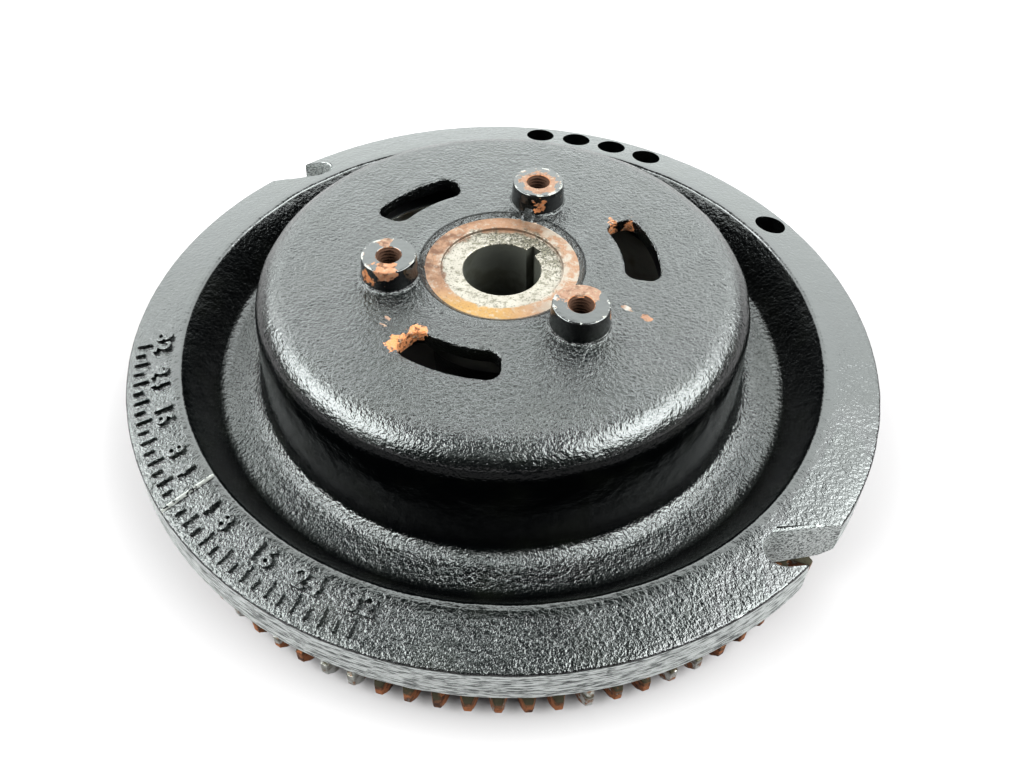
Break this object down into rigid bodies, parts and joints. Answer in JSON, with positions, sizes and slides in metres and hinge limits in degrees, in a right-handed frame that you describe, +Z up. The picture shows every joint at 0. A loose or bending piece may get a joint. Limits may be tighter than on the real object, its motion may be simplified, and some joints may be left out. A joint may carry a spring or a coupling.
{
  "type": "flywheel",
  "caption": "Outboard-type flywheel: raised cup on a wide flange, keyed hub bore, tapped bosses, kidney slots, starter ring gear below and magnets inside.",
  "frame": {"origin": "where the spin axis meets the rest face, the flat lower edge of the rim", "axes": "+Z up along the spin axis, out of the disc that carries the puller bosses; -Y towards the viewer of the picture, +X to the right"},
  "size_m": [0.2488, 0.2488, 0.0677],
  "materials": {
    "black_paint": "semi-gloss black paint over rough cast iron",
    "rusty_steel": "bare steel teeth with light rust",
    "ferrite": "matt dark ferrite",
    "black_plastic": "matt moulded plastic",
    "stainless_sleeve": "dull drawn stainless sheet",
    "plated_steel": "zinc plated, slightly dull"
  },
  "bodies": {
    "root": {"flywheel_casting": "black_paint", "ring_gear": "rusty_steel", "charge_magnet_1": "ferrite", "charge_magnet_2": "ferrite", "charge_magnet_3": "ferrite", "charge_magnet_4": "ferrite", "charge_magnet_5": "ferrite", "charge_magnet_6": "ferrite", "magnet_spacer_1": "black_plastic", "magnet_spacer_2": "black_plastic", "magnet_spacer_3": "black_plastic", "magnet_spacer_4": "black_plastic", "magnet_spacer_5": "black_plastic", "magnet_spacer_6": "black_plastic", "magnet_liner": "stainless_sleeve", "retaining_ring": "plated_steel", "retaining_screw_1": "plated_steel", "retaining_screw_2": "plated_steel", "retaining_screw_3": "plated_steel", "retaining_screw_4": "plated_steel", "retaining_screw_5": "plated_steel", "retaining_screw_6": "plated_steel", "trigger_ring": "black_plastic", "trigger_magnet_1": "ferrite", "trigger_magnet_2": "ferrite"}
  },
  "joints": []
}
